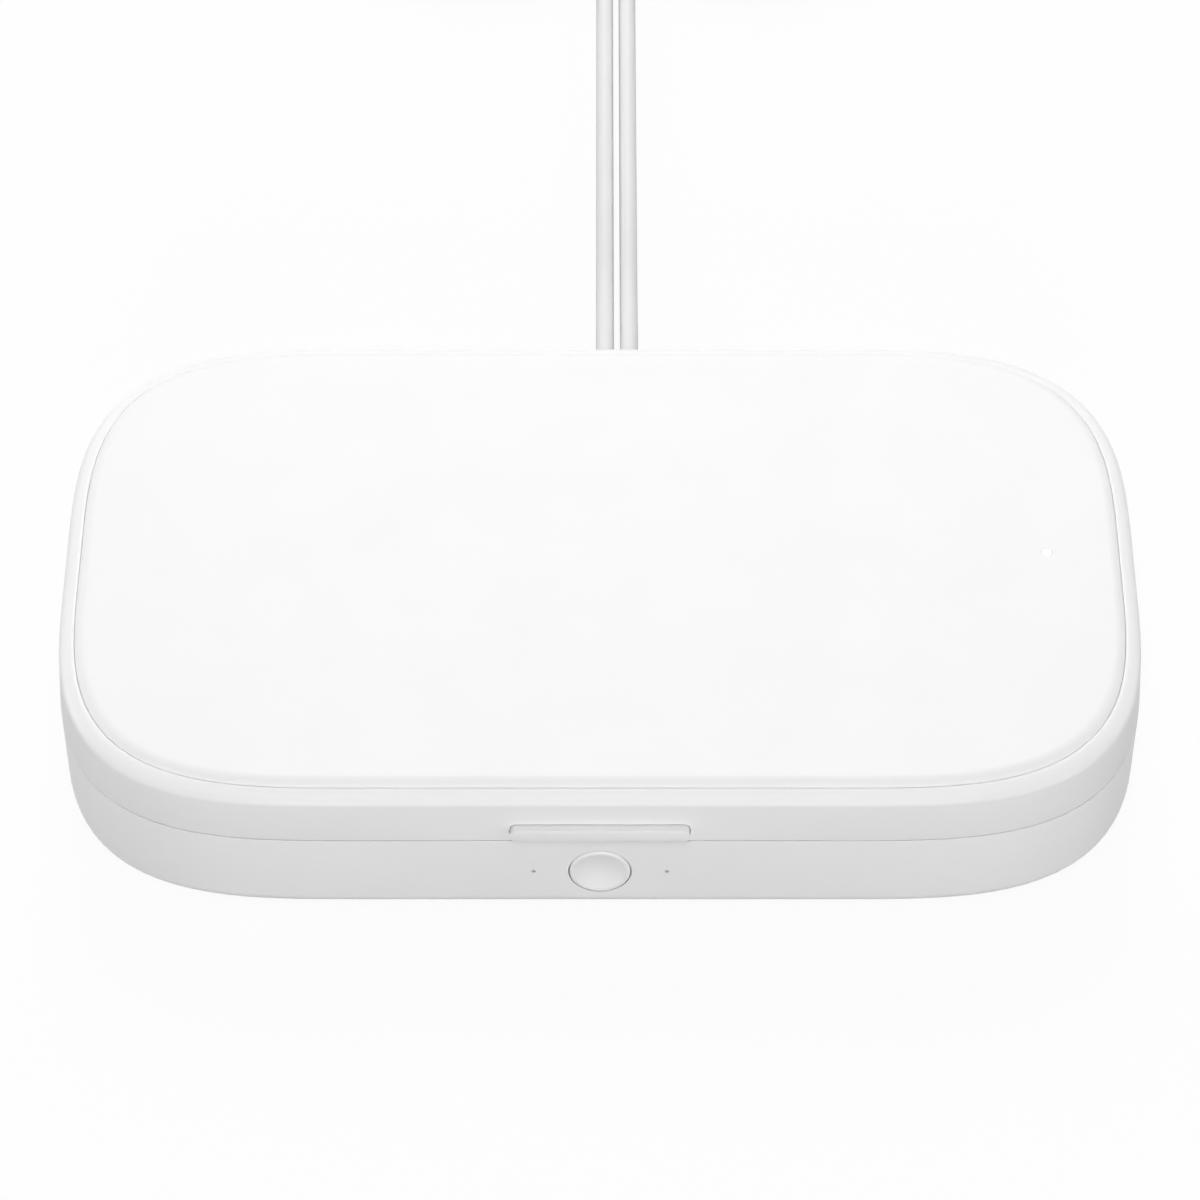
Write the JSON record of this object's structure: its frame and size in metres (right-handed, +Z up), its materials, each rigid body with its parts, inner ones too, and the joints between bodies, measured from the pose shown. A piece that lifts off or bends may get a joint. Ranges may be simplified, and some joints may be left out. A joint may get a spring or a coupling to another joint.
{
  "type": "uv phone sanitizer box",
  "caption": "Hinged clamshell box that cleans a phone with ultraviolet light in a reflector chamber, with a wireless charging surface on its lid, a push button and captive USB leads.",
  "frame": {"origin": "under the middle of the case, on the face of the non-slip mat that it stands on", "axes": "+X along the width to the right, seen from the front; -Y is the front with the button; +Z is up"},
  "size_m": [0.199, 0.3237, 0.0309],
  "materials": {
    "case_white": "fine satin moulded white",
    "top_white": "soft satin white",
    "button_white": "smooth satin white",
    "reflector": "metallised mirror coat on plastic",
    "clear_silicone": "frosted silicone",
    "quartz": "clear polished",
    "circuit_board": "green solder mask",
    "led_ceramic": "white ceramic with a clear lens",
    "black_plastic": "moulded black",
    "light_pipe": "frosted clear",
    "nickel": "nickel plate",
    "steel": "bright zinc or nickel plate",
    "seal_rubber": "matt grey silicone",
    "lead_white": "smooth white elastomer",
    "copper": "enamelled copper wire",
    "ferrite": "dark sintered sheet"
  },
  "bodies": {
    "base": {"base_shell": "case_white", "base_tray": "reflector", "chamber_rails": "clear_silicone", "base_windows": "quartz", "base_uv_boards": "circuit_board", "base_uv_leds": "led_ceramic", "main_board": "circuit_board", "board_parts": "black_plastic", "switch_body": "black_plastic", "front_light_pipes": "light_pipe", "base_magnets": "nickel", "rim_seal": "seal_rubber", "tray_screws": "steel", "foot_mat": "seal_rubber", "hinge_pins": "steel", "lead_gland": "lead_white", "left_lead": "lead_white", "left_coil": "lead_white", "left_plug": "lead_white", "left_plug_shell": "steel", "right_lead": "lead_white", "right_coil": "lead_white", "right_plug": "lead_white", "right_plug_shell": "steel"},
    "lid": {"lid_shell": "case_white", "top_plate": "top_white", "lid_liner": "reflector", "lid_windows": "quartz", "lid_uv_boards": "circuit_board", "lid_uv_leds": "led_ceramic", "charging_coil": "copper", "ferrite_sheet": "ferrite", "charger_board": "circuit_board", "status_light": "light_pipe", "lift_tab": "case_white", "lid_magnets": "nickel", "liner_screws": "steel"},
    "button": {"button_cap": "button_white", "switch_plunger": "black_plastic"}
  },
  "joints": [
    {"name": "lid_hinge", "type": "hinge", "parent": "base", "child": "lid", "pos_m": [0, 0.059, 0.01915], "axis": [-1, 0, 0], "range_deg": [0, 95]},
    {"name": "button_press", "type": "slide", "parent": "base", "child": "button", "axis": [0, 1, 0], "range_m": [0, 0.0006], "stiffness_N_per_m": 2500}
  ]
}
